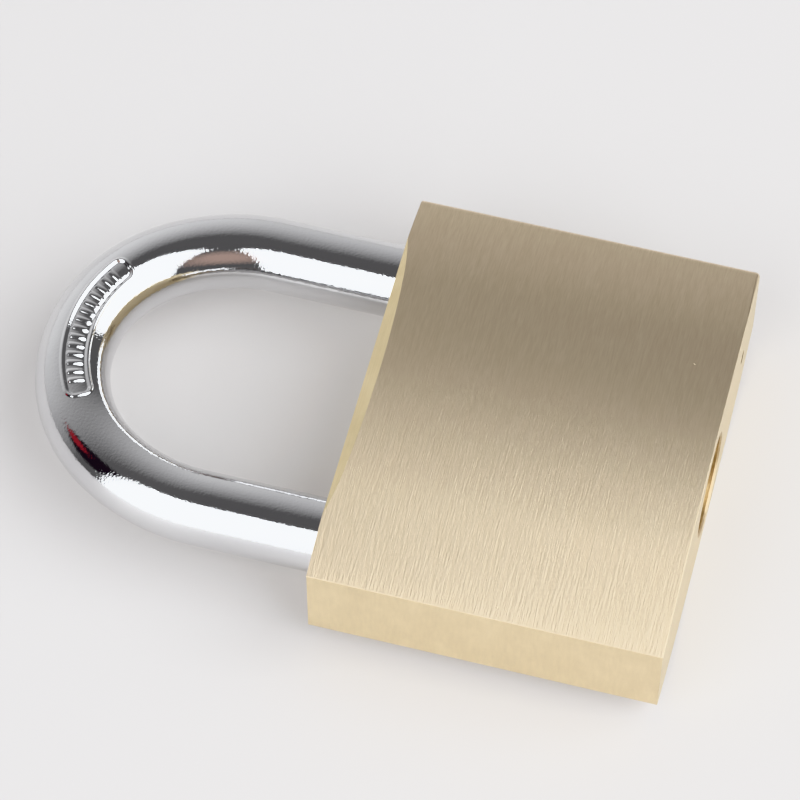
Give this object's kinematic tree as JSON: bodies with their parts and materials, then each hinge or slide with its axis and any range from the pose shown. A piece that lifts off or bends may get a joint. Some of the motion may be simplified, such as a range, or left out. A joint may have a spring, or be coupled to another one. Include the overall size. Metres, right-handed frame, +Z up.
{
  "type": "padlock",
  "caption": "Brass pin-tumbler padlock with crowned faces, a bevelled shackle end, a chromed round shackle and a keyed plug in its lower end.",
  "frame": {"origin": "under the middle of the closed padlock as it lies on its back face: halfway along its whole length, on its centre line, on the surface it lies on", "axes": "+X across the body from the toe leg towards the heel leg, +Y out of the body towards the shackle's bow, +Z up through the thickness"},
  "size_m": [0.05, 0.0764, 0.0171],
  "materials": {
    "body_brass": "fine brushed across the faces, matte sawn sides",
    "plug_brass": "turned",
    "shackle_chrome": "bright chrome plate on steel",
    "pin_steel": "ground",
    "spring_steel": "drawn wire"
  },
  "bodies": {
    "body": {"lock_body": "body_brass", "shackle_spring": "spring_steel", "heel_retaining_pin": "pin_steel", "plug_retaining_pin": "pin_steel", "latch_spring": "spring_steel", "latch_bore_plug": "body_brass", "pin_spring_1": "spring_steel", "pin_spring_2": "spring_steel", "pin_spring_3": "spring_steel", "pin_spring_4": "spring_steel", "pin_spring_5": "spring_steel", "chamber_plug_1": "body_brass", "chamber_plug_2": "body_brass", "chamber_plug_3": "body_brass", "chamber_plug_4": "body_brass", "chamber_plug_5": "body_brass"},
    "shackle": {"shackle": "shackle_chrome"},
    "plug": {"cylinder_plug": "plug_brass", "plug_cam": "pin_steel"},
    "latch": {"latch_bolt": "pin_steel"},
    "key_pin_1": {"key_pin_1": "plug_brass"},
    "key_pin_2": {"key_pin_2": "plug_brass"},
    "key_pin_3": {"key_pin_3": "plug_brass"},
    "key_pin_4": {"key_pin_4": "plug_brass"},
    "key_pin_5": {"key_pin_5": "plug_brass"},
    "driver_1": {"driver_pin_1": "pin_steel"},
    "driver_2": {"driver_pin_2": "pin_steel"},
    "driver_3": {"driver_pin_3": "pin_steel"},
    "driver_4": {"driver_pin_4": "pin_steel"},
    "driver_5": {"driver_pin_5": "pin_steel"}
  },
  "joints": [
    {"name": "shackle_lift", "type": "slide", "parent": "body", "child": "shackle", "axis": [0, 1, 0], "range_m": [0, 0.0135], "deforming": ["shackle_spring"]},
    {"name": "plug_turn", "type": "hinge", "parent": "body", "child": "plug", "pos_m": [0, -0.02545, 0.00855], "axis": [0, 1, 0], "range_deg": [-90, 0]},
    {"name": "latch_slide", "type": "slide", "parent": "body", "child": "latch", "axis": [1, 0, 0], "range_m": [-0.002, 0], "deforming": ["latch_spring"]},
    {"name": "key_pin_1_drop", "type": "slide", "parent": "plug", "child": "key_pin_1", "axis": [0, 0, -1], "range_m": [0, 0.00205]},
    {"name": "key_pin_2_drop", "type": "slide", "parent": "plug", "child": "key_pin_2", "axis": [0, 0, -1], "range_m": [0, 0.00135]},
    {"name": "key_pin_3_drop", "type": "slide", "parent": "plug", "child": "key_pin_3", "axis": [0, 0, -1], "range_m": [0, 0.0024]},
    {"name": "key_pin_4_drop", "type": "slide", "parent": "plug", "child": "key_pin_4", "axis": [0, 0, -1], "range_m": [0, 0.001]},
    {"name": "key_pin_5_drop", "type": "slide", "parent": "plug", "child": "key_pin_5", "axis": [0, 0, -1], "range_m": [0, 0.0017]},
    {"name": "driver_1_slide", "type": "slide", "parent": "body", "child": "driver_1", "axis": [-1, 0, 0], "range_m": [0, 0.0025], "stiffness_N_per_m": 150, "springref_m": -0.004, "deforming": ["pin_spring_1"]},
    {"name": "driver_2_slide", "type": "slide", "parent": "body", "child": "driver_2", "axis": [-1, 0, 0], "range_m": [0, 0.0025], "stiffness_N_per_m": 150, "springref_m": -0.004, "deforming": ["pin_spring_2"]},
    {"name": "driver_3_slide", "type": "slide", "parent": "body", "child": "driver_3", "axis": [-1, 0, 0], "range_m": [0, 0.0025], "stiffness_N_per_m": 150, "springref_m": -0.004, "deforming": ["pin_spring_3"]},
    {"name": "driver_4_slide", "type": "slide", "parent": "body", "child": "driver_4", "axis": [-1, 0, 0], "range_m": [0, 0.0025], "stiffness_N_per_m": 150, "springref_m": -0.004, "deforming": ["pin_spring_4"]},
    {"name": "driver_5_slide", "type": "slide", "parent": "body", "child": "driver_5", "axis": [-1, 0, 0], "range_m": [0, 0.0025], "stiffness_N_per_m": 150, "springref_m": -0.004, "deforming": ["pin_spring_5"]}
  ],
  "couplings": [
    {"joint": "latch_slide", "follows": "plug_turn", "m_per_rad": 0.001273}
  ]
}
